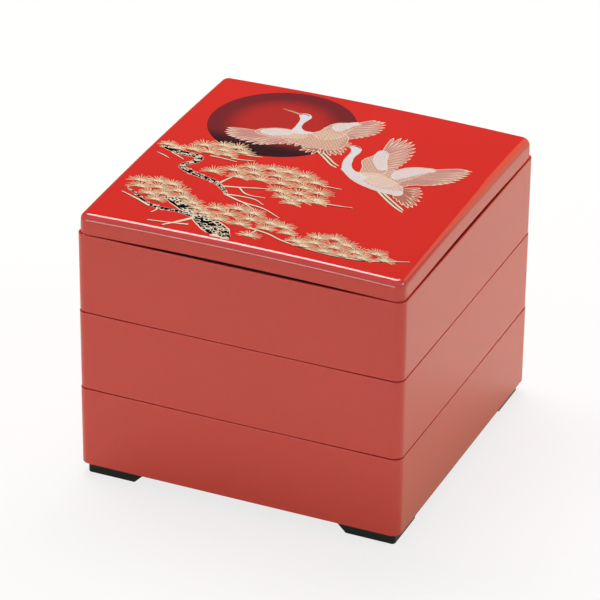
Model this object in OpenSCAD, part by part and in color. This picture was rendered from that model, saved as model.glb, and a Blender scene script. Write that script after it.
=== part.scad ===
// Three-tier stacking food box with a domed lid and four corner feet.
// Millimetres, +Z up, origin on the ground under the middle of the box, front face towards -Y.

/* [Tiers] */
// Width and depth of a tier over its rim
box_w = 196; // [150:1:240]
// Height that each tier adds to the stack
tier_h = 49; // [36:1:70]
// Radius of the upright corners at the rim
corner_r = 5.5; // [4.6:0.1:8]
// How far the outer walls draw in from the rim down to the lower edge
wall_lean = 0.2; // [0:0.05:0.5]
// Bevel on the outer edges on both sides of a seam
seam_bevel = 0.3; // [0.1:0.05:0.5]
// Thickness of the side walls
wall_t = 4.2; // [3.8:0.1:4.6]
// Thickness of a tier's floor
floor_t = 2.8; // [2:0.1:4]
// Radius of the upright corners inside
inner_r = 4.6; // [4.5:0.1:9]
// How far the inner walls draw in from the top down to the floor
inner_lean = 0.4; // [0:0.05:0.6]
// Radius between the floor and the inner walls
floor_r = 3.8; // [2:0.1:3.8]

/* [Stacking joint] */
// Height of the lip that stands up inside the piece above
lip_h = 4.5; // [3:0.1:7]
// Thickness of the lip
lip_t = 1.5; // [1.2:0.1:1.7]
// Bevel round the top of the lip
lip_bevel = 0.4; // [0.1:0.05:0.5]
// Gap all round between a lip and the skirt over it
fit_gap = 0.25; // [0.1:0.05:0.4]
// Gap between the top of a lip and the floor over it
head_gap = 0.4; // [0.2:0.1:1]

/* [Lid] */
// How far the lid's sides stand in from the rim under it
lid_inset = 0.9; // [0:0.1:1.1]
// Height of the lid at its corners
lid_h = 12.2; // [11:0.1:20]
// Radius of the rounded edge round the lid's top
lid_edge_r = 4.5; // [2:0.1:5.5]
// How far the lid's rim and top edge bow up in the middle of each side
lid_bow = 1.45; // [0:0.05:3]
// How far the lid's sides draw in from the rim up to the rounded edge
lid_lean = 0.15; // [0:0.05:0.4]
// Thickness of the lid's top plate
lid_t = 2.8; // [2:0.1:3.2]
// Radius between the lid's skirt and the underside of its plate
lid_inner_r = 3; // [1:0.1:3.4]

/* [Feet] */
// Height of the feet under the lowest tier
foot_h = 7.4; // [4:0.1:12]
// How far the feet stand in from the rim's outer faces
foot_inset = 3.6; // [3:0.1:6]
// Length of a foot along each side, on the ground
foot_leg = 29; // [18:0.5:45]
// Width of a foot across each leg
foot_w = 11; // [9:0.5:16]
// Radius of the foot's outer upright corner
foot_r = 2; // [1:0.1:5]
// Bevel round the foot's sole
foot_bevel = 0.6; // [0.2:0.1:1]
// Diameter of the pins that hold a foot
pin_d = 5; // [3:0.1:6]
// Length of the pins under the floor
pin_l = 8; // [4:0.1:8.5]
// Distance from the ground end of each leg to its pin
pin_back = 8; // [4:0.5:10]
// Gap all round between a pin and its socket
pin_gap = 0.1; // [0.05:0.01:0.2]

/* [Hidden] */
$fn = 48;

red = [0.80, 0.13, 0.10];
black = [0.06, 0.07, 0.07];

// Far enough through a face for a clean cut
cut = 1;

// Heights of the seams over the ground
lower_z = foot_h;
middle_z = lower_z + tier_h;
upper_z = middle_z + tier_h;
lid_z = upper_z + tier_h;

// The outer wall, the lip's outer face and the skirt's inner face share the corner axes
corner_axis = box_w / 2 - corner_r;
lip_r = corner_r - wall_t + lip_t;
skirt_r = lip_r + fit_gap;
recess_h = lip_h + head_gap;
floor_z = recess_h + floor_t;
tier_top = tier_h + lip_h;

// The cavity has its own corner axes, so its corners may be rounder than the wall's
cavity_axis = box_w / 2 - wall_t - inner_r;
cavity_low_r = inner_r - inner_lean;

// Pins stand on the middle line of a foot's legs
foot_reach = box_w / 2 - foot_inset;
foot_total = foot_h + recess_h;
pin_line = foot_reach - foot_w / 2;
pin_along = foot_reach - foot_leg + pin_back;
socket_l = pin_l + head_gap;

// Sweeps a profile drawn outward from a corner axis round the four sides of a square
module square_sweep(axis, low, high) {
    for (turn = [0:90:270])
        rotate([0, 0, turn])
            translate([axis, axis, 0]) {
                rotate_extrude(angle = 90) children();
                rotate([90, 0, 0]) linear_extrude(2 * axis) children();
            }
    translate([-axis, -axis, low]) cube([2 * axis, 2 * axis, high - low]);
}

// Profiles, as distance out from the corner axis and height over the tier's lower edge
module wall_profile() {
    low_r = corner_r - wall_lean;
    polygon([
        [0, 0], [low_r - seam_bevel, 0], [low_r, seam_bevel],
        [corner_r, tier_h - seam_bevel], [corner_r - seam_bevel, tier_h], [0, tier_h]
    ]);
}

module lip_profile() {
    polygon([
        [0, floor_z], [lip_r, floor_z], [lip_r, tier_top - lip_bevel],
        [lip_r - lip_bevel, tier_top], [0, tier_top]
    ]);
}

module skirt_profile() {
    polygon([
        [0, -cut], [skirt_r + lip_bevel, -cut], [skirt_r + lip_bevel, 0],
        [skirt_r, lip_bevel], [skirt_r, recess_h], [0, recess_h]
    ]);
}

module cavity_profile() {
    top_r = inner_r + inner_lean * cut / (tier_top - floor_z);
    polygon([
        [0, floor_z + floor_r], [cavity_low_r, floor_z + floor_r],
        [top_r, tier_top + cut], [0, tier_top + cut]
    ]);
    translate([0, floor_z]) square([cavity_low_r - floor_r, floor_r]);
    intersection() {
        translate([cavity_low_r - floor_r, floor_z + floor_r]) circle(floor_r);
        translate([0, floor_z]) square([cavity_low_r, floor_r]);
    }
}

// One moulded tier with its lip, open on top, over a recess that takes the lip below
module tier() {
    difference() {
        union() {
            square_sweep(corner_axis, 0, tier_h) wall_profile();
            square_sweep(corner_axis, floor_z, tier_top) lip_profile();
        }
        square_sweep(corner_axis, -cut, recess_h) skirt_profile();
        square_sweep(cavity_axis, floor_z, tier_top + cut) cavity_profile();
    }
}

// The two pin places of one foot, in the front left corner
module at_pins() {
    translate([-pin_line, -pin_along]) children();
    translate([-pin_along, -pin_line]) children();
}

// The same things in all four corners, as mirror images
module in_corner(right, back) {
    mirror([right ? 1 : 0, 0, 0]) mirror([0, back ? 1 : 0, 0]) children();
}

module lower_tier() {
    color(red) translate([0, 0, lower_z]) {
        tier();
        for (right = [false, true], back = [false, true])
            in_corner(right, back) at_pins()
                translate([0, 0, recess_h - pin_l]) cylinder(d = pin_d, h = pin_l);
    }
}

module middle_tier() {
    color(red) translate([0, 0, middle_z]) tier();
}

module upper_tier() {
    color(red) translate([0, 0, upper_z]) tier();
}

// The lid is one smooth shell: rings of points that run from the middle of its underside,
// down the inner skirt, round the rim, up the outer skirt and over to the middle of its top.
side_steps = 12;
corner_steps = 6;
ring_n = 4 * (side_steps + corner_steps);
bend_steps = 6;
// Smallest corner radius of a ring
tight_r = 0.2;

lid_half = box_w / 2 - lid_inset;
// Only the straight stretch between the corners bows
bow_span = lid_half - corner_r;
bore_half = corner_axis + skirt_r;
plate_z = lid_h - lid_t;

function turned(p, angle) =
    [p[0] * cos(angle) - p[1] * sin(angle), p[0] * sin(angle) + p[1] * cos(angle)];

// Outline of a square of the given half width with rounded corners
function outline(half, r) = [
    for (turn = [0:90:270]) each concat(
        [for (i = [0:side_steps - 1]) turned([half, (half - r) * (2 * i / side_steps - 1)], turn)],
        [for (i = [0:corner_steps - 1]) let (a = 90 * i / corner_steps)
            turned([half - r + r * cos(a), half - r + r * sin(a)], turn)]
    )
];

function bow(t) = lid_bow * max(0, 1 - pow(t / bow_span, 2));
function rise(p) = bow(p[0]) + bow(p[1]);

// One ring at a height, lifted by the lid's bow
function ring(half, r, z) = [for (p = outline(half, r)) [p[0], p[1], z + rise(p)]];

// Rings round a quarter bend that ends on a plate: its radius, and where its centre lies
function bend(half, r, bend_r, z, dir) = [
    for (i = [0:bend_steps]) let (a = 90 * (dir > 0 ? i : bend_steps - i) / bend_steps)
        ring(half - bend_r * (1 - cos(a)), max(r - bend_r * (1 - cos(a)), tight_r), z + bend_r * sin(a))
];

// Rings across a plate inside its bend
function plate(half, r, z, shares) = [for (s = shares) ring(half * s, r, z)];

edge_half = lid_half - lid_lean;
edge_plate_half = edge_half - lid_edge_r;
bore_plate_half = bore_half - lid_inner_r;
shares_out = [0.25, 0.5, 0.75];
shares_in = [0.75, 0.5, 0.25];

lid_rings = concat(
    plate(bore_plate_half, tight_r, plate_z, shares_out),
    bend(bore_half, skirt_r, lid_inner_r, plate_z - lid_inner_r, -1),
    [ring(bore_half, skirt_r, lip_bevel), ring(bore_half + lip_bevel, skirt_r + lip_bevel, 0)],
    [ring(lid_half - seam_bevel, corner_r - seam_bevel, 0), ring(lid_half, corner_r, seam_bevel)],
    bend(edge_half, corner_r - lid_lean, lid_edge_r, lid_h - lid_edge_r, 1),
    plate(edge_plate_half, tight_r, lid_h, shares_in)
);

lid_points = concat(
    [for (r = lid_rings) each r],
    [[0, 0, plate_z + rise([0, 0])], [0, 0, lid_h + rise([0, 0])]]
);

lid_faces = let (n = ring_n, last = len(lid_rings) - 1, low = n * len(lid_rings)) concat(
    [for (k = [0:last - 1], i = [0:n - 1]) let (j = (i + 1) % n)
        each [[k * n + i, (k + 1) * n + i, (k + 1) * n + j], [k * n + i, (k + 1) * n + j, k * n + j]]],
    [for (i = [0:n - 1]) [low, i, (i + 1) % n]],
    [for (i = [0:n - 1]) [low + 1, last * n + (i + 1) % n, last * n + i]]
);

module lid() {
    color(red) translate([0, 0, lid_z]) polyhedron(lid_points, lid_faces, convexity = 4);
}

// One L-shaped foot in the front left corner: two legs that meet at a rounded corner.
// Each leg's end leans back at 45 degrees from the ground up to the tier's lower edge.
module foot_leg_solid() {
    run = foot_leg - foot_r;
    intersection() {
        rotate([90, 0, 90]) linear_extrude(run + foot_h) polygon([
            [foot_bevel - foot_r, 0], [-foot_r, foot_bevel], [-foot_r, foot_total],
            [foot_w - foot_r, foot_total], [foot_w - foot_r, foot_bevel],
            [foot_w - foot_r - foot_bevel, 0]
        ]);
        translate([0, foot_w, 0]) rotate([90, 0, 0]) linear_extrude(2 * foot_w) polygon([
            [0, 0], [run, 0], [run + foot_h, foot_h], [run + foot_h, foot_total], [0, foot_total]
        ]);
    }
}

module foot() {
    difference() {
        translate([foot_r - foot_reach, foot_r - foot_reach, 0]) {
            foot_leg_solid();
            mirror([1, -1, 0]) foot_leg_solid();
            rotate([0, 0, 180]) rotate_extrude(angle = 90) polygon([
                [0, 0], [foot_r - foot_bevel, 0], [foot_r, foot_bevel],
                [foot_r, foot_total], [0, foot_total]
            ]);
        }
        at_pins() translate([0, 0, foot_total - socket_l])
            cylinder(d = pin_d + 2 * pin_gap, h = socket_l + cut);
    }
}

module foot_front_left() { color(black) foot(); }
module foot_front_right() { color(black) in_corner(true, false) foot(); }
module foot_back_left() { color(black) in_corner(false, true) foot(); }
module foot_back_right() { color(black) in_corner(true, true) foot(); }

lid();
upper_tier();
middle_tier();
lower_tier();
foot_front_left();
foot_front_right();
foot_back_left();
foot_back_right();
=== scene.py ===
# A three-tier stacking food box, in red lacquer on moulded resin, with a picture on its lid.
import math
import random

import bmesh
import bpy
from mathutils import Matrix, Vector


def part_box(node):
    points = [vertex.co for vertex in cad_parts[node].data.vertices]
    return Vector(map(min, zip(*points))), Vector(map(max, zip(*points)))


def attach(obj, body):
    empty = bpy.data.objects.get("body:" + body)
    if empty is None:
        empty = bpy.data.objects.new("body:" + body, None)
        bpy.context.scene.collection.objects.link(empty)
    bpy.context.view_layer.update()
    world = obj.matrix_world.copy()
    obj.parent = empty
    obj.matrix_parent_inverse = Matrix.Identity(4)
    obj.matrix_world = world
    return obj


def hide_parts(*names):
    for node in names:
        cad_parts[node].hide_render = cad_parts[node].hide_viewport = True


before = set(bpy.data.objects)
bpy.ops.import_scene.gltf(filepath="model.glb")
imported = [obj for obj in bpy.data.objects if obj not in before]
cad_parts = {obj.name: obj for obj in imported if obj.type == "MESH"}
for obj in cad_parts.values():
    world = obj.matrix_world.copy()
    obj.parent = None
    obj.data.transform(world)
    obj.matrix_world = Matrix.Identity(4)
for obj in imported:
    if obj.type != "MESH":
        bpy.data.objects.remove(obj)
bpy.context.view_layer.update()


# The tiers
# Three like boxes, injection moulded in ABS resin and sprayed with lacquer, each with a floor,
# four slightly leaning walls and a thin lip. A skirt under each floor drops over the lip below,
# so nothing fastens them. Lengths are in metres.
MM = 0.001
TIERS = ["lower_tier", "middle_tier", "upper_tier"]
TIER_BODIES = {"lower_tier": "base", "middle_tier": "middle", "upper_tier": "upper"}
TIER_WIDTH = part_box("lower_tier")[1].x * 2
TIER_HEIGHT = 49 * MM
FOOT_HEIGHT = 7.4 * MM
TIER_LOW = {name: FOOT_HEIGHT + step * TIER_HEIGHT for step, name in enumerate(TIERS)}
WALL = 4.2 * MM
WALL_LEAN = 0.2 * MM
CORNER_RADIUS = 5.5 * MM
FLOOR_THICKNESS = 2.8 * MM
INNER_RADIUS = 4.6 * MM
INNER_LEAN = 0.4 * MM
FLOOR_RADIUS = 3.8 * MM
LIP_HEIGHT = 4.5 * MM
LIP_THICKNESS = 1.5 * MM
LIP_BEVEL = 0.4 * MM
FIT_GAP = 0.25 * MM
HEAD_GAP = 0.4 * MM
RECESS_HEIGHT = LIP_HEIGHT + HEAD_GAP
SEAM_BEVEL = 0.3 * MM
SHOULDER_BEVEL = 0.5 * MM
# The lower rims stand clear of the tier below by this much at the corners, and by this much
# less in mid-side, so that the seam shows as a fine dark line.
SEAM_GAP = 0.54 * MM
SEAM_SAG = 0.28 * MM
# The red coat ends this far in from the outside.
RED_LEDGE = 1.4 * MM
# Flat faces are cut into strips of this width, so that they can follow the lid's dome.
STRIP = 8 * MM
SMOOTH_ANGLE = math.radians(35)

# Urethane has an IOR of 1.5. It is set higher here, to match the strong veil of white that
# the walls mirror. The ripple of the spray is drawn coarser than the real one, so that it shows.
LACQUER_IOR = 1.7
LACQUER_ROUGHNESS = 0.06
BLACK_ROUGHNESS = 0.15
LACQUER_RIPPLE = 1.6 * MM
RIPPLE_DEPTH = 0.0006 * MM
# A sprayed or moulded colour drifts a little over patches of this width.
COLOR_PATCHES = 60 * MM


def linear(code):
    """Turns a screen colour such as #DF3029 into linear light."""
    parts = [int(code[i:i + 2], 16) / 255 for i in (1, 3, 5)]
    return [p / 12.92 if p <= 0.04045 else ((p + 0.055) / 1.055) ** 2.4 for p in parts] + [1]


def add(tree, kind, settings={}, values={}, links={}):
    """Adds a shader node with its settings, the values of its sockets and links into them."""
    node = tree.nodes.new("ShaderNode" + kind)
    for name, value in settings.items():
        setattr(node, name, value)
    for name, value in values.items():
        node.inputs[name].default_value = value
    for name, source in links.items():
        tree.links.new(source, node.inputs[name])
    return node


def drift(color, dark, size):
    """A colour that drifts a little towards a darker one, in soft patches of a size."""
    def shading(tree):
        place = add(tree, "TexCoord")
        patches = add(tree, "TexNoise", values={"Scale": 1 / size, "Detail": 1},
                      links={"Vector": place.outputs["Object"]})
        shade = add(tree, "Mix", settings={"data_type": "RGBA"},
                    values={6: linear(color), 7: linear(dark)}, links={0: patches.outputs["Fac"]})
        return shade.outputs[2]
    return shading


def coat(name, shading, roughness, ior=LACQUER_IOR, ripple=LACQUER_RIPPLE,
         ripple_depth=RIPPLE_DEPTH):
    """A smooth surface with a colour or pattern and a faint ripple."""
    material = bpy.data.materials.new(name)
    material.use_nodes = True
    tree = material.node_tree
    tree.nodes.clear()
    place = add(tree, "TexCoord")
    wave = add(tree, "TexNoise", values={"Scale": 1 / ripple, "Detail": 1},
               links={"Vector": place.outputs["Object"]})
    bump = add(tree, "Bump", values={"Strength": 1, "Distance": ripple_depth},
               links={"Height": wave.outputs["Fac"]})
    surface = add(tree, "BsdfPrincipled", values={"Roughness": roughness, "IOR": ior},
                  links={"Base Color": shading(tree), "Normal": bump.outputs["Normal"]})
    add(tree, "OutputMaterial", links={"Surface": surface.outputs["BSDF"]})
    return material


# Red urethane lacquer, sprayed and polished: a warm red under a sharp, clear gloss.
red_lacquer = coat("red urethane lacquer", drift("#DC3028", "#D72E26", COLOR_PATCHES),
                   LACQUER_ROUGHNESS)
# Black urethane lacquer, sprayed inside and under the floors: deep black with a soft gloss.
black_lacquer = coat("black urethane lacquer", drift("#0B0B0C", "#0E0D0D", COLOR_PATCHES),
                     BLACK_ROUGHNESS)


def pick(kind, test):
    """Selects the faces or edges of the mesh in edit mode that pass a test."""
    mesh = bmesh.from_edit_mesh(bpy.context.edit_object.data)
    bpy.ops.mesh.select_mode(type=kind)
    bpy.ops.mesh.select_all(action="DESELECT")
    for item in (mesh.faces if kind == "FACE" else mesh.edges):
        if test(item):
            item.select_set(True)
    mesh.select_flush_mode()
    bmesh.update_edit_mesh(bpy.context.edit_object.data)


def faces_up(face):
    """Tells whether a face looks up."""
    return face.normal.z > 0.9


def faces_down(face):
    """Tells whether a face looks down."""
    return face.normal.z < -0.9


def stands_upright(edge):
    """Tells whether an edge stands upright, or nearly so."""
    ends = edge.verts[0].co - edge.verts[1].co
    return abs(ends.z) > 0.9 * ends.length


def lies_at(height):
    """Makes a test for edges that lie level at a height."""
    def test(edge):
        return all(abs(v.co.z - height) < 0.01 * MM for v in edge.verts)
    return test


def is_sharp_at(height, angle=1):
    """Makes a test for edges at a height that stand out by more than an angle in radians."""
    def test(edge):
        return lies_at(height)(edge) and edge.calc_face_angle_signed(0) > angle
    return test


def start_block(name, width, height, low):
    """Adds a square block that stands on a height, and opens it in edit mode."""
    bpy.ops.object.select_all(action="DESELECT")
    bpy.ops.mesh.primitive_cube_add(
        size=1, location=(0, 0, low + height / 2), scale=(width, width, height))
    block = bpy.context.object
    block.name = name
    bpy.ops.object.transform_apply(location=True, rotation=True, scale=True)
    bpy.ops.object.mode_set(mode="EDIT")
    return block


def narrow(test, width, new_width):
    """Scales the faces that pass a test level, about the upright middle axis."""
    pick("FACE", test)
    share = new_width / width
    bpy.ops.transform.resize(value=(share, share, 1), center_override=(0, 0, 0))


def round_edges(test, radius, segments):
    """Rounds the edges that pass a test."""
    pick("EDGE", test)
    bpy.ops.mesh.bevel(offset=radius, segments=segments, affect="EDGES")


def pull(move):
    """Extrudes the selected faces along a move."""
    bpy.ops.mesh.extrude_region_move(TRANSFORM_OT_translate={"value": move})


def cut_in_strips():
    """Cuts the mesh in edit mode into even strips both ways."""
    count = int(TIER_WIDTH / 2 / STRIP)
    for step in range(-count, count + 1):
        for across in ((1, 0, 0), (0, 1, 0)):
            bpy.ops.mesh.select_all(action="SELECT")
            bpy.ops.mesh.bisect(plane_co=(step * STRIP, step * STRIP, 0), plane_no=across)


def finish_mesh(piece):
    """Smooths the round edges of a piece and keeps its flat faces flat."""
    bpy.ops.object.shade_smooth_by_angle(angle=SMOOTH_ANGLE)
    piece.modifiers.new("flat faces", "WEIGHTED_NORMAL").keep_sharp = True
    bpy.ops.object.modifier_apply(modifier="flat faces")


def copy_piece(pattern, name, shift=(0, 0, 0), mirror=(1, 1, 1)):
    """A copy with its own mesh, moved or mirrored to its place, with its object at the origin."""
    bpy.ops.object.select_all(action="DESELECT")
    pattern.select_set(True)
    bpy.context.view_layer.objects.active = pattern
    bpy.ops.object.duplicate()
    piece = bpy.context.object
    piece.name = name
    bpy.ops.transform.resize(value=mirror, center_override=(0, 0, 0))
    bpy.ops.transform.translate(value=shift)
    bpy.ops.object.transform_apply(location=True, rotation=True, scale=True)
    if mirror != (1, 1, 1):
        bpy.ops.object.mode_set(mode="EDIT")
        bpy.ops.mesh.select_all(action="SELECT")
        bpy.ops.mesh.normals_make_consistent(inside=False)
        bpy.ops.object.mode_set(mode="OBJECT")
    finish_mesh(piece)
    return piece


def depth(point, width):
    """How deep a point lies inside a square outline with round corners, seen from above."""
    over = [abs(t) - width / 2 + CORNER_RADIUS for t in (point.x, point.y)]
    if max(over) <= 0:
        return CORNER_RADIUS - max(over)
    return CORNER_RADIUS - math.hypot(max(over[0], 0), max(over[1], 0))


def make_core():
    """The mould's core: the inside of a tier, with round corners and a rounded floor."""
    width = TIER_WIDTH - 2 * WALL
    low = RECESS_HEIGHT + FLOOR_THICKNESS
    height = TIER_HEIGHT + LIP_HEIGHT - low
    core = start_block("core", width, height + WALL, low)
    narrow(faces_down, width, width - 2 * INNER_LEAN)
    round_edges(stands_upright, INNER_RADIUS, 10)
    round_edges(lies_at(low), FLOOR_RADIUS, 8)
    bpy.ops.object.mode_set(mode="OBJECT")
    return core


def make_tier():
    """One tier on the ground: a block is shaped outside and below, and its core cut out."""
    core = make_core()
    tier = start_block("tier", TIER_WIDTH, TIER_HEIGHT, 0)
    narrow(faces_down, TIER_WIDTH, TIER_WIDTH - 2 * WALL_LEAN)
    round_edges(stands_upright, CORNER_RADIUS, 12)
    pick("FACE", faces_up)
    bpy.ops.mesh.inset(thickness=RED_LEDGE)
    bpy.ops.mesh.inset(thickness=WALL - LIP_THICKNESS - RED_LEDGE)
    pull((0, 0, LIP_HEIGHT))
    pick("FACE", faces_down)
    bpy.ops.mesh.inset(thickness=WALL - LIP_THICKNESS - FIT_GAP)
    pull((0, 0, RECESS_HEIGHT))
    round_edges(is_sharp_at(0), SEAM_BEVEL, 3)
    round_edges(is_sharp_at(TIER_HEIGHT), SHOULDER_BEVEL, 4)
    bpy.ops.object.mode_set(mode="OBJECT")
    cut = tier.modifiers.new("core", "BOOLEAN")
    cut.operation = "DIFFERENCE"
    cut.solver = "EXACT"
    cut.object = core
    bpy.ops.object.modifier_apply(modifier="core")
    bpy.data.objects.remove(core)
    bpy.ops.object.mode_set(mode="EDIT")
    round_edges(lies_at(TIER_HEIGHT + LIP_HEIGHT), LIP_BEVEL, 3)
    cut_in_strips()
    bpy.ops.object.mode_set(mode="OBJECT")
    return tier


def open_seam(tier, low):
    """Lifts the lower rim of a tier clear of the tier below, least in mid-side."""
    for corner in tier.data.vertices:
        if corner.co.z < low + 2 * SEAM_BEVEL:
            side = min(abs(corner.co.x), abs(corner.co.y)) / (TIER_WIDTH / 2 - CORNER_RADIUS)
            corner.co.z += SEAM_GAP - SEAM_SAG * max(0, 1 - side ** 2)


tier_pattern = make_tier()
for name in TIERS:
    tier = copy_piece(tier_pattern, name + "_moulding", shift=(0, 0, TIER_LOW[name]))
    tier.data.materials.append(red_lacquer)
    tier.data.materials.append(black_lacquer)
    for face in tier.data.polygons:
        face.material_index = 1 if depth(face.center, TIER_WIDTH) > RED_LEDGE else 0
    if name != "lower_tier":
        open_seam(tier, TIER_LOW[name])
    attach(tier, TIER_BODIES[name])
    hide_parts(name)
bpy.data.objects.remove(tier_pattern)


# The feet
# Four L-shaped feet, moulded in black ABS and pushed up into the recess under the lowest tier.
# The end of each leg leans back towards its corner below the tier's edge.
FOOT_TOTAL = FOOT_HEIGHT + RECESS_HEIGHT
FOOT_INSET = 3.6 * MM
FOOT_REACH = TIER_WIDTH / 2 - FOOT_INSET
FOOT_WIDTH = 11 * MM
FOOT_LEG = 29 * MM
FOOT_RADIUS = 2 * MM
FOOT_BEVEL = 0.6 * MM
FOOT_SIDES = {"front_left": (1, 1, 1), "front_right": (-1, 1, 1),
              "back_left": (1, -1, 1), "back_right": (-1, -1, 1)}
# ABS has an IOR of 1.54. It is set lower here, to match how little light the feet mirror. The
# grain is drawn coarser than the real one, so that it shows.
PLASTIC_IOR = 1.35
PLASTIC_ROUGHNESS = 0.35
PLASTIC_GRAIN = 0.5 * MM
GRAIN_DEPTH = 0.002 * MM

# Black ABS, as moulded: dull, slightly green black, with a fine spark-eroded grain.
black_plastic = coat("black abs plastic", drift("#11191B", "#151D1F", COLOR_PATCHES),
                     PLASTIC_ROUGHNESS, ior=PLASTIC_IOR, ripple=PLASTIC_GRAIN,
                     ripple_depth=GRAIN_DEPTH)

foot = start_block("foot", FOOT_WIDTH, FOOT_TOTAL, 0)
foot_middle = FOOT_WIDTH / 2 - FOOT_REACH
leg_end = FOOT_LEG + FOOT_HEIGHT
bpy.ops.mesh.select_all(action="SELECT")
bpy.ops.transform.translate(value=(foot_middle, foot_middle, 0))
for axis in (0, 1):
    run = Vector((0, 0, 0))
    run[axis] = leg_end - FOOT_WIDTH
    pick("FACE", lambda face: face.normal[axis] > 0.9
         and face.calc_center_median()[1 - axis] < FOOT_WIDTH - FOOT_REACH)
    pull(run)
bpy.ops.mesh.select_all(action="SELECT")
bpy.ops.mesh.bisect(plane_co=(0, 0, FOOT_HEIGHT), plane_no=(0, 0, 1))
for axis in (0, 1):
    back = Vector((0, 0, 0))
    back[axis] = -FOOT_HEIGHT
    pick("EDGE", lambda edge: all(v.co[axis] > leg_end - FOOT_REACH - MM and v.co.z < MM
                                  for v in edge.verts))
    bpy.ops.transform.translate(value=back)
round_edges(lambda edge: all(v.co.x < MM - FOOT_REACH and v.co.y < MM - FOOT_REACH
                             for v in edge.verts), FOOT_RADIUS, 8)
round_edges(is_sharp_at(0, 0.5), FOOT_BEVEL, 3)
bpy.ops.object.mode_set(mode="OBJECT")
for corner, mirror in FOOT_SIDES.items():
    piece = copy_piece(foot, "plastic_foot_" + corner, mirror=mirror)
    piece.data.materials.append(black_plastic)
    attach(piece, "base")
    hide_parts("foot_" + corner)
bpy.data.objects.remove(foot)


# The lid
# One moulding in the same resin and lacquer: a shallow cap that drops over the lip of the upper
# tier. Its rim and top edge bow up in the middle of each side, and its plate is domed both ways.
LID_LOW = FOOT_HEIGHT + len(TIERS) * TIER_HEIGHT
LID_INSET = 0.9 * MM
LID_WIDTH = TIER_WIDTH - 2 * LID_INSET
# A hair less than in the solids, which leaves room for the picture.
LID_HEIGHT = 12.1 * MM
LID_LEAN = 0.15 * MM
LID_EDGE_RADIUS = 4.5 * MM
LID_SKIRT = WALL - LIP_THICKNESS - FIT_GAP - LID_INSET
LID_PLATE = 2.8 * MM
LID_INNER_RADIUS = 3 * MM
LID_RED_RIM = 0.7 * MM
LID_BOW = 1.45 * MM
BOW_REACH = LID_WIDTH / 2 - CORNER_RADIUS


def rise(x, y):
    """How far the lid's bow lifts a point over its place on a flat lid."""
    return sum(LID_BOW * max(0, 1 - (t / BOW_REACH) ** 2) for t in (x, y))


lid = start_block("lid_moulding", LID_WIDTH, LID_HEIGHT, 0)
narrow(faces_up, LID_WIDTH, LID_WIDTH - 2 * LID_LEAN)
round_edges(stands_upright, CORNER_RADIUS, 12)
pick("FACE", faces_down)
bpy.ops.mesh.inset(thickness=LID_SKIRT)
pull((0, 0, LID_HEIGHT - LID_PLATE))
round_edges(is_sharp_at(0), SEAM_BEVEL, 3)
round_edges(lies_at(LID_HEIGHT - LID_PLATE), LID_INNER_RADIUS, 6)
round_edges(lies_at(LID_HEIGHT), LID_EDGE_RADIUS, 12)
cut_in_strips()
bpy.ops.object.mode_set(mode="OBJECT")
for corner in lid.data.vertices:
    corner.co.z += LID_LOW + rise(corner.co.x, corner.co.y)
finish_mesh(lid)
lid.data.materials.append(red_lacquer)
lid.data.materials.append(black_lacquer)
for face in lid.data.polygons:
    hidden = face.normal.z < 0.3 and depth(face.center, LID_WIDTH) > LID_RED_RIM
    face.material_index = 1 if hidden else 0
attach(lid, "lid")
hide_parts("lid")


# The sun
# The picture on the lid is a customary lucky one. It is screen printed, so each ink is a very
# thin skin on the lid's lacquer. Its sun is one round print, deep red in the middle and nearly
# black at its rim and foot.
LAYER = 0.008 * MM
SKIN = 0.004 * MM

# Places and sizes in the picture are in millimetres, and places count from the lid's middle.
SUN_MIDDLE = (-37.5, 47)
SUN_RADIUS = 43
# Where the sun's rim starts to darken and is dark, and the same for its foot.
SUN_RIM_START = 20
SUN_RIM_END = 37
SUN_FOOT_TOP = 30
SUN_FOOT_END = 13


def sun_shade(tree):
    """Red in the middle of the sun, dark red round its rim and nearly black at its foot."""
    place = add(tree, "TexCoord")
    level = add(tree, "VectorMath", settings={"operation": "MULTIPLY"}, values={1: (1, 1, 0)},
                links={0: place.outputs["Object"]})
    middle = [t * MM for t in (*SUN_MIDDLE, 0)]
    off = add(tree, "VectorMath", settings={"operation": "DISTANCE"}, values={1: middle},
              links={0: level.outputs["Vector"]})
    rim = add(tree, "MapRange", settings={"interpolation_type": "SMOOTHSTEP"},
              values={"From Min": SUN_RIM_START * MM, "From Max": SUN_RIM_END * MM},
              links={"Value": off.outputs["Value"]})
    red = add(tree, "Mix", settings={"data_type": "RGBA"},
              values={6: linear("#BA2E2A"), 7: linear("#78262A")}, links={0: rim.outputs["Result"]})
    spot = add(tree, "SeparateXYZ", links={"Vector": place.outputs["Object"]})
    foot = add(tree, "MapRange", settings={"interpolation_type": "SMOOTHSTEP"},
               values={"From Min": SUN_FOOT_TOP * MM, "From Max": SUN_FOOT_END * MM},
               links={"Value": spot.outputs["Y"]})
    dark = add(tree, "Mix", settings={"data_type": "RGBA"}, values={7: linear("#34181D")},
               links={0: foot.outputs["Result"], 6: red.outputs[2]})
    return dark.outputs[2]


# Dark red ink, blended from red to black in one pull and glossy under the clear coat.
sun_print = coat("dark red ink", sun_shade, LACQUER_ROUGHNESS)


def lay_on_lid(piece, material, layer):
    """Lifts a flat skin of ink to its layer over the lid's top and fixes it to the lid."""
    piece.data.materials.append(material)
    for corner in piece.data.vertices:
        corner.co.z += LID_LOW + LID_HEIGHT + rise(corner.co.x, corner.co.y) + layer * LAYER
    bpy.ops.object.shade_smooth_by_angle(angle=SMOOTH_ANGLE)
    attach(piece, "lid")


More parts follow.
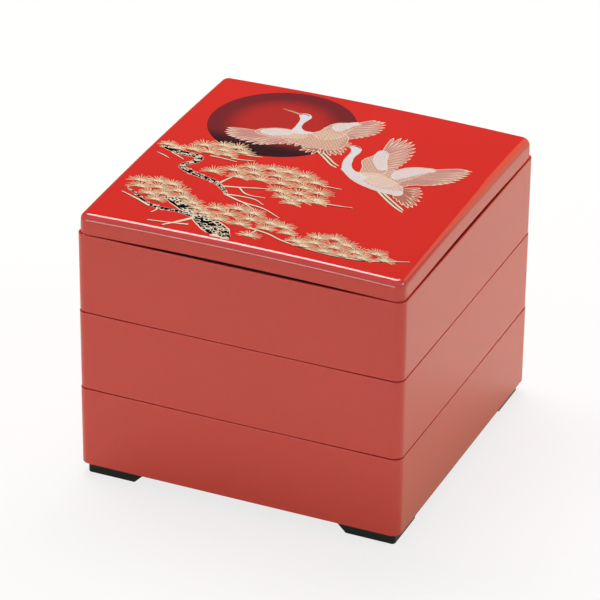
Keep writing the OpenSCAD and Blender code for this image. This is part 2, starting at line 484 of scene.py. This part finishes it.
bpy.ops.object.select_all(action="DESELECT")
bpy.ops.mesh.primitive_cylinder_add(
    vertices=160, radius=SUN_RADIUS * MM, depth=2 * SKIN,
    location=(SUN_MIDDLE[0] * MM, SUN_MIDDLE[1] * MM, 0))
sun = bpy.context.object
sun.name = "print_sun"
bpy.ops.object.transform_apply(location=True, rotation=True, scale=True)
bpy.ops.object.mode_set(mode="EDIT")
cut_in_strips()
bpy.ops.object.mode_set(mode="OBJECT")
lay_on_lid(sun, sun_print, 1)


# The pines
# Pine boughs, printed in five inks: black bark with pale edges and curls, pale twigs, and rows
# of needle tufts in orange gold and cream over brown. The black lies on the pale, and the
# needles lie on both.
INK_ROUGHNESS = 0.12
# Ink grain is finer than this. It is drawn as coarse as it needs to show.
INK_GRAIN = 1.1 * MM
# Curls for each square millimetre of bark, and the turn from point to point in a curl.
BARK_CURLS = 0.2
CURL_TURN = 1.4
CURL_WIDTH = 0.5
# The fan of a tuft, in degrees from the lid's right-hand side, and how wide and tall it is.
NEEDLES = 17
FAN_START = -22
FAN_TURN = 224
FAN_WIDTH = 1.15
FAN_HEIGHT = 0.95
GAP_WIDTH = 0.8
GAP_HEIGHT = 0.7
# Strokes in a tuft: how far along they are, and how wide there.
NEEDLE = [(0.06, 0.62), (0.7, 0.5), (1, 0.3)]
NEEDLE_GAP = [(0.35, 0.2), (0.7, 0.4), (1, 0.1)]
# Strokes under a tuft: how far across as a share of its size, how far up, and how wide.
TUFT_SHADE = [(-0.75, -0.3, 0.3), (-0.3, -1.4, 0.9), (0.3, -1.4, 0.9), (0.75, -0.3, 0.3)]
TUFT_BUD = [(-0.5, -0.2, 0.3), (-0.2, -0.7, 0.5), (0.2, -0.6, 0.5), (0.5, 0, 0.3)]
# How far the dark shade of a twig lies to its right and below it.
TWIG_SHADE = (0.2, -0.7)
# The points of a stroke are x, y and width. Their places were read off the real print.
BOUGHS = [
    [(-90, -4.5, 2.5), (-80, -8, 4), (-71, -9.5, 4.5), (-64, -10.5, 4.5), (-62, -14, 4.2),
     (-64.5, -19, 3.6), (-67.5, -23.5, 3.6), (-61, -28.5, 3.8), (-51, -32, 3.4), (-41, -35.5, 3.2),
     (-35, -40.5, 2.4), (-29.5, -46.5, 1.6)],
    [(-60, -60.5, 3), (-53, -63.5, 7), (-45, -68, 7.5), (-38, -73, 4.5), (-31, -77, 9),
     (-23, -82, 11.5), (-15, -87, 11), (-8, -91, 2)],
    [(-86, -58, 0.8), (-76, -64.5, 1.6), (-66, -72, 2.2), (-58, -74, 2.6), (-46, -74, 2.6),
     (-36, -76.5, 2.2)],
]
TWIGS = [
    [(-36, -38, 1.4), (-26, -35.5, 1.1), (-18, -33, 0.9), (-10.5, -31, 0.5)],
    [(-27, -35.8, 1), (-20, -41.5, 0.9), (-8.5, -41.5, 0.5)],
    [(-30, -46, 1.2), (-21, -45, 1), (-13, -45.5, 0.8), (-6, -49.5, 0.4)],
    [(-30, -46.5, 1.3), (-18, -51, 1.1), (-5, -53, 0.9), (8, -59.5, 0.4)],
    [(-18, -51, 1), (-11, -55, 0.8), (-5.5, -59, 0.4)],
    [(-39, -35, 1.5), (-37.5, -30, 1.2), (-35, -25, 0.8)],
    [(-88, -13.5, 0.5), (-83, -15.5, 0.8), (-78.5, -18, 0.5)],
    [(-80, -11, 0.5), (-75, -13.5, 0.8), (-70, -16.5, 0.5)],
    [(-58, -6.5, 1), (-49, -7, 0.9), (-41, -8, 0.5)],
    [(-46, -5, 0.9), (-39, -4.5, 0.8), (-32, -3, 0.5)],
    [(-42, 1.5, 0.8), (-36, 2, 0.8), (-30, 3, 0.5)],
    [(9, -14, 1), (17, -15, 0.9), (26, -14.5, 0.4)],
    [(20, -34.5, 1), (30, -33.5, 0.9), (40, -32, 0.4)],
    [(-85.5, -64, 0.6), (-75, -68.5, 1.1), (-64, -74, 1.4)],
    [(-35, -77, 2.2), (-41, -84, 1.8), (-48, -91, 1)],
    [(-58, -89, 0.6), (-47, -87.5, 1), (-35, -85.5, 1.4)],
    [(-59, -74, 1.2), (-58.5, -77, 1), (-60, -80.5, 0.6)],
    [(-3, -76, 1.2), (9, -78, 1), (20, -82, 0.9), (36, -84.5, 0.7), (55, -85, 0.7),
     (70, -82.5, 0.8), (81, -78, 0.8), (91, -73.5, 0.4)],
    [(2, -77, 1), (1, -81, 0.9), (-4, -86, 0.6)],
]
# Where the tufts sit: x, y and size, also read off the real print.
TUFTS = [
    (-57, 8, 6.5), (-47, 8.5, 6.5), (-66, 4, 7), (-54, 2.5, 6.5), (-42, 3.5, 6), (-70, -3, 6.5),
    (-60, -3, 6.5), (-50, -2.5, 6), (-86, -2.5, 5), (-79, -5, 4.5),
    (-19, -8.5, 7), (-9, -8, 7), (2, -9, 7), (-30, -11, 6.5), (-38, -18, 7), (-26, -17, 7),
    (-13, -15, 7), (-1, -16, 7), (10, -14, 6), (-49, -24, 6.5), (-33, -24.5, 7), (-20, -23, 7),
    (-7, -22.5, 7), (5, -22, 7), (16, -24.5, 7), (-5, -31, 7), (7, -29.5, 7), (18, -32.5, 6),
    (0, -37, 6.5), (11, -36.5, 6.5), (7, -41.5, 5.5), (21, -35, 5),
    (-72, -46, 6.5), (-62, -46.5, 6), (-82, -48.5, 6.5), (-68, -52.5, 7), (-57, -52.5, 6.5),
    (-78, -55, 7), (-62, -58.5, 6.5), (-50, -58.5, 6.5), (-71, -61, 6), (-64, -66, 6),
    (-43, -62.5, 6), (-38, -67, 5),
    (-17, -59, 7), (-7, -60.5, 6.5), (-28, -63, 6.5), (-19, -67, 7), (-7, -67.5, 7),
    (6, -67, 6.5), (15, -68, 6), (-32, -70.5, 6), (-22, -74, 6.5), (-9, -74.5, 6.5),
    (18, -73.5, 5), (5, -73.5, 5.5), (0, -84, 6),
    (45, -68.5, 6), (36, -71, 6), (54, -72, 6), (72, -74, 6), (37, -77, 6.5), (49, -77, 6.5),
    (61, -77, 6.5), (27, -79.5, 6), (78, -78.5, 5), (33, -82.5, 6), (44, -83, 6), (56, -83, 6),
    (67, -81.5, 6),
]


def ink(name, color, dark):
    """Screen ink under clear lacquer, with fine grain in its colour."""
    return coat(name, drift(color, dark, INK_GRAIN), INK_ROUGHNESS)


# Opaque inks with a satin gloss. The gold and pale ones hold metal powder, but look flat.
black_print = ink("black ink", "#050404", "#0C0A08")
brown_print = ink("brown ink", "#7A4424", "#96582E")
cream_print = ink("cream gold ink", "#F8E4C8", "#F0D0A4")
gold_print = ink("orange gold ink", "#EBB380", "#DA9562")
pale_print = ink("pale gold ink", "#F4E4CE", "#EAD2B2")


def start_curve(name, kind):
    """Adds an empty curve, of the kind 2D for flat shapes or 3D for strokes."""
    bpy.ops.object.select_all(action="DESELECT")
    bpy.ops.object.add(type="CURVE")
    piece = bpy.context.object
    piece.name = name
    piece.data.dimensions = kind
    return piece


def smooth(point):
    """Lets a curve run smoothly through a point."""
    point.handle_left_type = "AUTO"
    point.handle_right_type = "AUTO"


def paint(name, material, layer, strokes, curved=False, spread=1):
    """Paints brush strokes through points (x, y, width) and presses them flat."""
    piece = start_curve(name, "3D")
    curve = piece.data
    curve.twist_mode = "Z_UP"
    curve.bevel_depth = MM / 2
    curve.bevel_resolution = 0
    curve.resolution_u = 4
    curve.use_fill_caps = True
    for stroke in strokes:
        line = curve.splines.new("BEZIER" if curved else "POLY")
        points = line.bezier_points if curved else line.points
        points.add(len(stroke) - 1)
        for point, (x, y, width) in zip(points, stroke):
            place = (x * MM, y * MM, 0)
            point.co = place if curved else (*place, 1)
            point.radius = width * spread
            if curved:
                smooth(point)
    bpy.ops.object.convert(target="MESH")
    for corner in piece.data.vertices:
        corner.co.z = max(-SKIN, min(SKIN, corner.co.z))
    lay_on_lid(piece, material, layer)


def along(line, share):
    """The point at a share of the way along a line of points, step by step."""
    spot = share * (len(line) - 1)
    low = min(int(spot), len(line) - 2)
    part = spot - low
    return [a + (b - a) * part for a, b in zip(line[low], line[low + 1])]


def stroke_between(start, end, marks):
    """A straight stroke, from its marks: shares of the way, and the widths there."""
    return [(*along([start, end], share), width) for share, width in marks]


dice = random.Random(7)


def tuft(x, y, size):
    """A fan of pine needles over its bud, wide and low, with dark gaps between the needles."""
    light = []
    dark = []
    step = FAN_TURN / (NEEDLES - 1)
    for i in range(NEEDLES):
        turn = math.radians(FAN_START + step * i + dice.uniform(-4, 4))
        reach = size * dice.uniform(0.85, 1.2)
        tip = (x + FAN_WIDTH * reach * math.cos(turn), y + FAN_HEIGHT * reach * math.sin(turn))
        light.append(stroke_between((x, y), tip, NEEDLE))
        turn += math.radians(step / 2)
        tip = (x + GAP_WIDTH * size * math.cos(turn), y + GAP_HEIGHT * size * math.sin(turn))
        dark.append(stroke_between((x, y), tip, NEEDLE_GAP))
    return light, dark


def curl_on(bough, share):
    """A small round curl somewhere across a bough, at a share of the way along it."""
    x, y, width = along(bough, share)
    y += dice.uniform(-0.55, 0.55) * width
    turn = dice.uniform(0, 2 * math.pi)
    size = dice.uniform(0.45, 0.7) + 0.08 * width
    angles = [turn + step * CURL_TURN for step in range(4)]
    return [(x + 1.3 * size * math.cos(angle), y + size * math.sin(angle), CURL_WIDTH)
            for angle in angles]


barks = []
for bough in BOUGHS:
    steps = zip(bough, bough[1:])
    area = sum(math.dist(a[:2], b[:2]) * (a[2] + b[2]) / 2 for a, b in steps)
    marks = int(BARK_CURLS * area)
    barks += [curl_on(bough, (i + dice.random()) / marks) for i in range(marks)]
needles = []
gaps = []
buds = []
shades = []
for x, y, size in TUFTS:
    x += dice.uniform(-0.8, 0.8)
    light, dark = tuft(x, y, size)
    needles += light
    gaps += dark
    shades.append([(x + across * size, y + up, width) for across, up, width in TUFT_SHADE])
    buds.append([(x + across * size, y + up, width) for across, up, width in TUFT_BUD])
twig_shades = [[(x + TWIG_SHADE[0], y + TWIG_SHADE[1], width) for x, y, width in twig]
               for twig in TWIGS]

paint("print_bark_edges", pale_print, 1, BOUGHS, curved=True, spread=1.14)
paint("print_bark", black_print, 2, BOUGHS, curved=True)
paint("print_twig_shades", black_print, 2, twig_shades, curved=True, spread=0.9)
paint("print_twigs", pale_print, 3, TWIGS, curved=True)
paint("print_bark_curls", pale_print, 4, barks, curved=True)
paint("print_tuft_shades", brown_print, 4, shades, curved=True)
paint("print_needle_gaps", brown_print, 5, gaps)
paint("print_needles", gold_print, 4, needles)
paint("print_needle_lights", cream_print, 6, needles, spread=0.62)
paint("print_buds", pale_print, 7, buds, curved=True)


# The cranes
# Two flying cranes, printed in ten inks: rose feathers with pale edges, netted peach bodies,
# white arms, silver necks and black brows. Their layers lie over the sun, from the legs up to
# the brows.
FEATHER_TIP = 0.1
# How much of a feather's width and of its tip its inside takes up.
VANE_SHARE = 0.62
VANE_TIP = 0.35
QUILL_WIDTH = 0.14
EDGE_WIDTH = 0.45
BODY_NET = 1.4
ARM_NET = 1.2
# One arc of the netting, in shares of its step across and up, and its width.
NET_ARC = [(-0.7, 0.35, 0.3), (0, -0.2, 0.4), (0.7, 0.35, 0.3)]

# More opaque inks with a satin gloss, some with silver powder.
tan_print = ink("tan ink", "#D9AC8C", "#C08A70")
peach_print = ink("peach ink", "#D8A18C", "#C28674")
blush_print = ink("blush ink", "#E2BCB6", "#D0A4A2")
rose_print = ink("rose silver ink", "#CE8C84", "#BC7A72")
dusk_print = ink("dark rose ink", "#CC8472", "#A65E4C")
white_print = ink("silver white ink", "#EEE4E4", "#DCCECC")
silver_print = ink("blue silver ink", "#E8E6EE", "#D6CFD6")


def feathers(roots, tips, count, width):
    """A fan of pointed feathers from a line of roots to a line of tips."""
    marks = [(0, 0.7 * width), (0.5, width), (0.85, 0.8 * width), (1, FEATHER_TIP)]
    shares = [i / (count - 1) for i in range(count)]
    return [stroke_between(along(roots, share), along(tips, share), marks) for share in shares]


def quills(fan):
    """The fine line along the middle of each feather."""
    return [[(x, y, QUILL_WIDTH) for x, y, _ in feather[:3]] for feather in fan]


def vanes(fan):
    """The inside of each feather, which leaves a fine edge round it and a plain tip."""
    inner = []
    for feather in fan:
        body = [(x, y, width * VANE_SHARE) for x, y, width in feather[:3]]
        tip = stroke_between(feather[2][:2], feather[3][:2], [(VANE_TIP, FEATHER_TIP)])
        inner.append(body + tip)
    return inner


def patch(name, material, layer, outlines):
    """Paints flat shapes with smooth outlines through points (x, y)."""
    piece = start_curve(name, "2D")
    curve = piece.data
    curve.fill_mode = "BOTH"
    curve.extrude = SKIN
    curve.resolution_u = 6
    for outline in outlines:
        line = curve.splines.new("BEZIER")
        line.bezier_points.add(len(outline) - 1)
        line.use_cyclic_u = True
        for point, (x, y) in zip(line.bezier_points, outline):
            point.co = (x * MM, y * MM, 0)
            smooth(point)
    bpy.ops.object.convert(target="MESH")
    bpy.ops.object.mode_set(mode="EDIT")
    bpy.ops.mesh.select_all(action="SELECT")
    bpy.ops.mesh.remove_doubles(threshold=0.001 * MM)
    cut_in_strips()
    bpy.ops.mesh.select_all(action="SELECT")
    bpy.ops.mesh.normals_make_consistent(inside=False)
    bpy.ops.object.mode_set(mode="OBJECT")
    lay_on_lid(piece, material, layer)


def is_within(x, y, outline):
    """Tells whether a point lies inside a closed outline, by the edges it passes."""
    inside = False
    for (ax, ay), (bx, by) in zip(outline, outline[1:] + outline[:1]):
        if (ay > y) != (by > y) and x < ax + (bx - ax) * (y - ay) / (by - ay):
            inside = not inside
    return inside


def netting(outlines, step):
    """Rows of small arcs, like the edges of body feathers, inside some outlines."""
    arcs = []
    for outline in outlines:
        low_x = min(x for x, _ in outline)
        high_x = max(x for x, _ in outline)
        low_y = min(y for _, y in outline)
        high_y = max(y for _, y in outline)
        for row in range(int((high_y - low_y) / step)):
            for column in range(int((high_x - low_x) / (1.5 * step))):
                x = low_x + (column + 0.5 * (row % 2)) * 1.5 * step
                y = low_y + row * step
                if is_within(x, y, outline):
                    arcs.append([(x + across * step, y + up * step, width)
                                 for across, up, width in NET_ARC])
    return arcs


# The points of the outlines were picked along the edges of the real print, and turned
# into millimetres on the lid. The feathers between them and the netting are worked out.
left_flight = feathers(
    [(1, 64), (-1, 54), (0, 45)],
    [(9.5, 74), (16, 74), (18.5, 66), (18, 58), (12.5, 50.5), (7, 46)], 12, 2.7)
left_flight += feathers(
    [(-47, 32.5), (-40, 30), (-28, 31), (-16, 32)],
    [(-64.5, 30), (-64, 25), (-61, 21), (-56.5, 19.5), (-51, 17.5), (-43, 15.5), (-36, 17.5),
     (-31, 21.5), (-23, 23.5), (-14, 23)], 17, 2.9)
LEFT_COVERTS = [
    [(-17, 43), (-14, 47), (-12.5, 54), (-9.5, 60.5), (-4, 63.5), (3, 66.5), (2.5, 60), (0.5, 53),
     (0.5, 47), (-3, 41), (-10, 38)],
    [(-25, 41), (-34, 41.5), (-41, 39), (-47.5, 33.5), (-47, 31), (-41, 29), (-34, 29.5),
     (-28, 31.5), (-20, 34), (-18, 38)],
]
LEFT_WHITES = [
    [(-10, 55), (-9, 59.5), (-4.5, 62.8), (2.5, 66), (0.5, 60), (-1.5, 54.5), (-3.5, 51.5),
     (-7, 51.5)],
    [(-44.8, 33), (-41.5, 38), (-35, 40.5), (-28, 40.5), (-26.5, 37.5), (-31, 33.5), (-35, 31),
     (-40, 30.5)],
]
LEFT_BODY = [
    [(-27.4, 39.5), (-20.9, 41.6), (-15.5, 44.5), (-8.7, 50), (-2.2, 50.5), (3.5, 47), (5.5, 42),
     (6.2, 36), (3.6, 29), (-4, 26.5), (-9, 25.5), (-16, 26), (-25, 28), (-31, 32)],
]
left_tail = feathers(
    [(1, 37), (-7, 28)], [(9, 40), (9.5, 31), (9.5, 24), (4, 20.5), (-6.5, 17.5), (-15, 19.5)],
    11, 2.6)
left_tail += feathers(
    [(-2, 38), (-9, 30)], [(6.5, 36), (5.5, 28), (1, 24.5), (-8, 21.5), (-14, 23)], 8, 2.4)
LEFT_HEAD = [
    [(-33.1, 62), (-32.1, 64), (-29.8, 65), (-26.9, 63.8), (-25.4, 60.7), (-25.8, 57.8),
     (-26.4, 54.7), (-26.5, 51.1), (-25.8, 47.6), (-23.9, 44.8), (-20.8, 43.3), (-17, 43.2),
     (-20.3, 40.1), (-26.1, 39.2), (-28.8, 41.7), (-29, 45.3), (-29.4, 51.5), (-30.6, 57.5)],
]
right_flight = feathers(
    [(29, 39), (32, 36), (36, 26), (39.5, 15)],
    [(27.4, 57.4), (32.7, 59.8), (38, 58), (41.5, 55), (44.5, 49.5), (46, 43.5), (46.5, 37),
     (46, 31), (44.5, 25), (43.5, 20)], 13, 2.7)
right_flight += feathers(
    [(63, 29), (57, 17), (51, 7), (47, 0)],
    [(77.7, 38), (83, 39), (83.3, 33), (82, 27.5), (79.5, 21), (75, 16), (69.5, 12),
     (62.5, 10), (57, 5), (55, -1)], 17, 2.9)
RIGHT_COVERTS = [
    [(22.5, 22.3), (23.7, 26.5), (26, 31), (28, 39.5), (31.3, 38.4), (35.3, 28), (39.8, 16),
     (38.5, 9), (32, 4.5), (28, 7), (26, 14.5)],
    [(31, 5), (37, 10.5), (44, 19.5), (48.1, 24.6), (53, 28), (58, 29.8), (64.5, 29.8),
     (60.5, 23.3), (57, 16.5), (53.5, 10.5), (50.5, 4), (47.6, -0.5), (40, -2)],
]
RIGHT_WHITES = [
    [(26.5, 30), (28.3, 39), (31, 38), (35.2, 27.7), (38.7, 17.6), (36, 16), (32.5, 18.5),
     (29, 23.5)],
    [(44, 15), (48, 23.5), (52.9, 27.3), (58.2, 29.2), (64, 29.4), (61, 25), (56.9, 19.4),
     (52, 13), (47.5, 9)],
    [(15.9, 9.7), (19.4, 4.5), (26.2, -1.5), (33, -4.9), (41.7, -7.7), (49.5, -8.3), (58, -7.5),
     (57.5, -2.8), (52, -3.4), (45, -4.4), (38.5, -3.2), (32.2, 0.6), (27, 5)],
]
RIGHT_BODY = [
    [(20, 8), (27, 8.5), (36, 11), (44, 9), (52, 4.5), (57, -1), (57.5, -6), (52, -8.3),
     (40, -7), (29, -3), (22.5, 2)],
]
right_tail = feathers(
    [(55, -1), (57, -7)],
    [(65, 6), (68.5, 1.5), (70.5, -5.5), (71, -14), (69, -19.5), (62, -16.5), (56, -12)], 11, 2.6)
right_tail += feathers(
    [(54, -2), (55, -7)], [(63, 2), (65.5, -4), (65, -11), (60, -13), (56, -11)], 8, 2.4)
RIGHT_HEAD = [
    [(9.2, 36), (9.9, 37.4), (12.6, 38), (15.9, 36.4), (17.2, 33.7), (17.4, 29.4), (16.8, 24.7),
     (17.9, 19.2), (19.9, 13.2), (22.9, 9.5), (27, 7.3), (31.3, 6.1), (32.8, 2), (29.6, -0.2),
     (24.1, 1.7), (18.8, 6), (15.9, 9.7), (13.4, 17), (12.9, 22.8), (12.9, 28.1), (12, 32.1)],
]
beaks = [
    [(-32, 62.8, 2), (-39.2, 64.6, 1.4), (-45.7, 66, 0.4)],
    [(10.5, 36.8, 2), (7, 37.4, 1.4), (3.5, 38.4, 0.4)],
]
legs = [
    [(-5, 23, 1.2), (3.5, 15.2, 1.1), (9, 10.2, 1), (12.8, 8.4, 0.8)],
    [(-1.5, 22.6, 1.2), (5, 17, 1.1), (10.3, 12.4, 1), (13, 11, 0.8)],
    [(45, -8, 1.3), (54, -16, 1.2), (61.5, -21.6, 1.2), (66.5, -24.6, 0.9)],
    [(48, -8, 1.3), (56, -14.6, 1.2), (62.5, -19.6, 1.2), (66, -22.4, 0.9)],
]
brows = [
    [(-32.2, 63.2, 0.3), (-29.8, 64, 0.8), (-27.2, 63, 0.4)],
    [(10.4, 37.2, 0.4), (13.2, 37.4, 0.9), (16.2, 35.8, 0.5)],
]
flight = left_flight + right_flight
tails = left_tail + right_tail
coverts = LEFT_COVERTS + RIGHT_COVERTS
arms = LEFT_WHITES + RIGHT_WHITES
heads = LEFT_HEAD + RIGHT_HEAD
edges = []
for outline in coverts + LEFT_BODY + RIGHT_BODY + heads:
    edges.append([(x, y, EDGE_WIDTH) for x, y in outline + outline[:1]])

paint("print_leg_shades", brown_print, 2, legs, curved=True, spread=1.7)
paint("print_legs", pale_print, 3, legs, curved=True)
paint("print_tail_edges", pale_print, 3, tails)
paint("print_tails", dusk_print, 4, vanes(tails))
paint("print_feather_edges", pale_print, 4, flight)
paint("print_feathers", rose_print, 5, vanes(flight))
paint("print_quills", pale_print, 6, quills(flight))
patch("print_coverts", peach_print, 7, coverts)
patch("print_left_body", peach_print, 8, LEFT_BODY)
patch("print_right_body", blush_print, 8, RIGHT_BODY)
paint("print_body_nets", pale_print, 9, netting(LEFT_BODY + coverts + RIGHT_BODY, BODY_NET),
      spread=1.1)
patch("print_arms", white_print, 10, arms)
paint("print_arm_nets", blush_print, 11, netting(arms, ARM_NET), spread=0.6)
patch("print_heads", silver_print, 11, heads)
paint("print_crane_edges", pale_print, 12, edges, curved=True)
paint("print_beaks", tan_print, 13, beaks, curved=True)
paint("print_brows", black_print, 13, brows, curved=True)


# The table
# A wide table with a white laminate top. The camera sees it near white, and the box mirrors a
# dimmer, warmer glow of it, as it would from a table lit only round the box.
FLOOR_WIDTH = 8
TABLE_GLOW = 0.78
MIRROR_GLOW = 0.35


def mirror_rays(tree, rays):
    """The rays that mirrors and clear glass send on."""
    either = add(tree, "Math", settings={"operation": "MAXIMUM"},
                 links={0: rays.outputs["Is Glossy Ray"], 1: rays.outputs["Is Transmission Ray"]})
    return either.outputs["Value"]


# White laminate, pressed smooth and lit all over: an even, near white ground with soft shadows.
white_laminate = bpy.data.materials.new("white laminate")
white_laminate.use_nodes = True
tree = white_laminate.node_tree
tree.nodes.clear()
matt = add(tree, "BsdfDiffuse", values={"Color": linear("#F9F7F3")})
rays = add(tree, "LightPath")
seen_glow = add(tree, "Emission", values={"Color": linear("#FFFFFF"), "Strength": 1})
warm_glow = add(tree, "Emission", values={"Color": linear("#FAFCC8"), "Strength": 1})
seen_share = add(tree, "Math", settings={"operation": "MULTIPLY"}, values={1: TABLE_GLOW},
                 links={0: rays.outputs["Is Camera Ray"]})
warm_share = add(tree, "Math", settings={"operation": "MULTIPLY"}, values={1: MIRROR_GLOW},
                 links={0: mirror_rays(tree, rays)})
warm = add(tree, "MixShader", links={0: warm_share.outputs["Value"], 1: matt.outputs["BSDF"],
                                     2: warm_glow.outputs["Emission"]})
shown = add(tree, "MixShader", links={0: seen_share.outputs["Value"], 1: warm.outputs["Shader"],
                                      2: seen_glow.outputs["Emission"]})
add(tree, "OutputMaterial", links={"Surface": shown.outputs["Shader"]})

bpy.ops.object.select_all(action="DESELECT")
bpy.ops.mesh.primitive_plane_add(size=FLOOR_WIDTH)
floor = bpy.context.object
floor.name = "table"
floor.data.materials.append(white_laminate)


# The lamps
# Three soft boxes and a warm reflector. The first draws the bright line along the lid's front
# edge, the second the line under it, and the third the veil on the lid's right edge.
def light_wall(name, direction, elevation, distance, width, height, strength, color="#FFFFFF"):
    """Adds a soft square lamp, seen from the box at a direction and elevation in degrees."""
    bpy.ops.object.select_all(action="DESELECT")
    turn = math.radians(direction)
    lift = math.radians(elevation)
    toward = Vector((math.sin(turn) * math.cos(lift), -math.cos(turn) * math.cos(lift),
                     math.sin(lift)))
    bpy.ops.object.light_add(type="AREA", location=toward * distance)
    lamp = bpy.context.object
    lamp.name = name
    lamp.rotation_euler = toward.to_track_quat("Z", "Y").to_euler()
    lamp.data.shape = "RECTANGLE"
    lamp.data.size = width
    lamp.data.size_y = height
    lamp.data.energy = strength * width * height * math.pi
    lamp.data.color = linear(color)[:3]


light_wall("key softbox", direction=-140, elevation=69, distance=1.6, width=1.25, height=0.55,
           strength=8.9)
light_wall("fill softbox", direction=-20, elevation=9, distance=2.2, width=1.5, height=0.4,
           strength=3.8)
light_wall("side softbox", direction=95, elevation=35, distance=2.2, width=1.0, height=0.6,
           strength=3)
light_wall("warm reflector", direction=163, elevation=19, distance=2.2, width=1.6, height=1.4,
           strength=1, color="#FFC68C")


# The camera
# It stands to the right of the front face and looks down on the lid through a long lens. Its
# place was worked out from the box's straight edges.
VIEW_AZIMUTH = math.radians(23.4)
VIEW_ELEVATION = math.radians(28.9)
VIEW_ROLL = math.radians(0.61)
VIEW_DISTANCE = 2331 * MM
# The point it looks at: its height over the table, then its shift across and up the picture.
AIM_HEIGHT = 87.4 * MM
AIM_RIGHT = -4.5 * MM
AIM_UP = -1.37 * MM
# In millimetres, as camera settings are.
SENSOR_WIDTH = 36
LENS = 245.52

bpy.ops.object.select_all(action="DESELECT")
bpy.ops.object.camera_add(rotation=(math.pi / 2 - VIEW_ELEVATION, 0, VIEW_AZIMUTH))
camera = bpy.context.object
camera.name = "camera"
camera.rotation_euler.rotate_axis("Z", VIEW_ROLL)
bpy.context.view_layer.update()
view_right, view_up, view_back = camera.matrix_world.to_3x3().col
aim = Vector((0, 0, AIM_HEIGHT)) + AIM_RIGHT * view_right + AIM_UP * view_up
camera.location = aim + VIEW_DISTANCE * view_back
camera.data.sensor_width = SENSOR_WIDTH
camera.data.lens = LENS
camera.data.clip_end = 2.5 * FLOOR_WIDTH
bpy.context.scene.camera = camera
bpy.context.scene.view_settings.view_transform = "Standard"


# The studio
# White surroundings, which fade out towards the place that the lid mirrors, so that the lid has
# nothing bright to mirror but the soft lamp behind it. They give the box a dim, even light.
AMBIENT = 0.27
STUDIO_BRIGHT = 0.75
STUDIO_DARK = 0.05
# How near to the mirrored place it is darkest, as the cosine of the angle between them.
DARK_NEAR = 0.95

world = bpy.data.worlds.new("studio")
bpy.context.scene.world = world
world.use_nodes = True
tree = world.node_tree
tree.nodes.clear()
coords = add(tree, "TexCoord")
mirrored = Vector((-view_back.x, -view_back.y, view_back.z))
near = add(tree, "VectorMath", settings={"operation": "DOT_PRODUCT"}, values={1: mirrored},
           links={0: coords.outputs["Generated"]})
fade = add(tree, "MapRange",
           values={"From Min": 0, "From Max": DARK_NEAR, "To Min": STUDIO_BRIGHT,
                   "To Max": STUDIO_DARK},
           links={"Value": near.outputs["Value"]})
seen = add(tree, "Background", values={"Color": (1, 1, 1, 1)},
           links={"Strength": fade.outputs["Result"]})
dim = add(tree, "Background", values={"Color": (1, 1, 1, 1), "Strength": AMBIENT})
rays = add(tree, "LightPath")
shown = add(tree, "Math", settings={"operation": "MAXIMUM"},
            links={0: mirror_rays(tree, rays), 1: rays.outputs["Is Camera Ray"]})
mixed = add(tree, "MixShader", links={0: shown.outputs["Value"], 1: dim.outputs["Background"],
                                      2: seen.outputs["Background"]})
add(tree, "OutputWorld", links={"Surface": mixed.outputs["Shader"]})
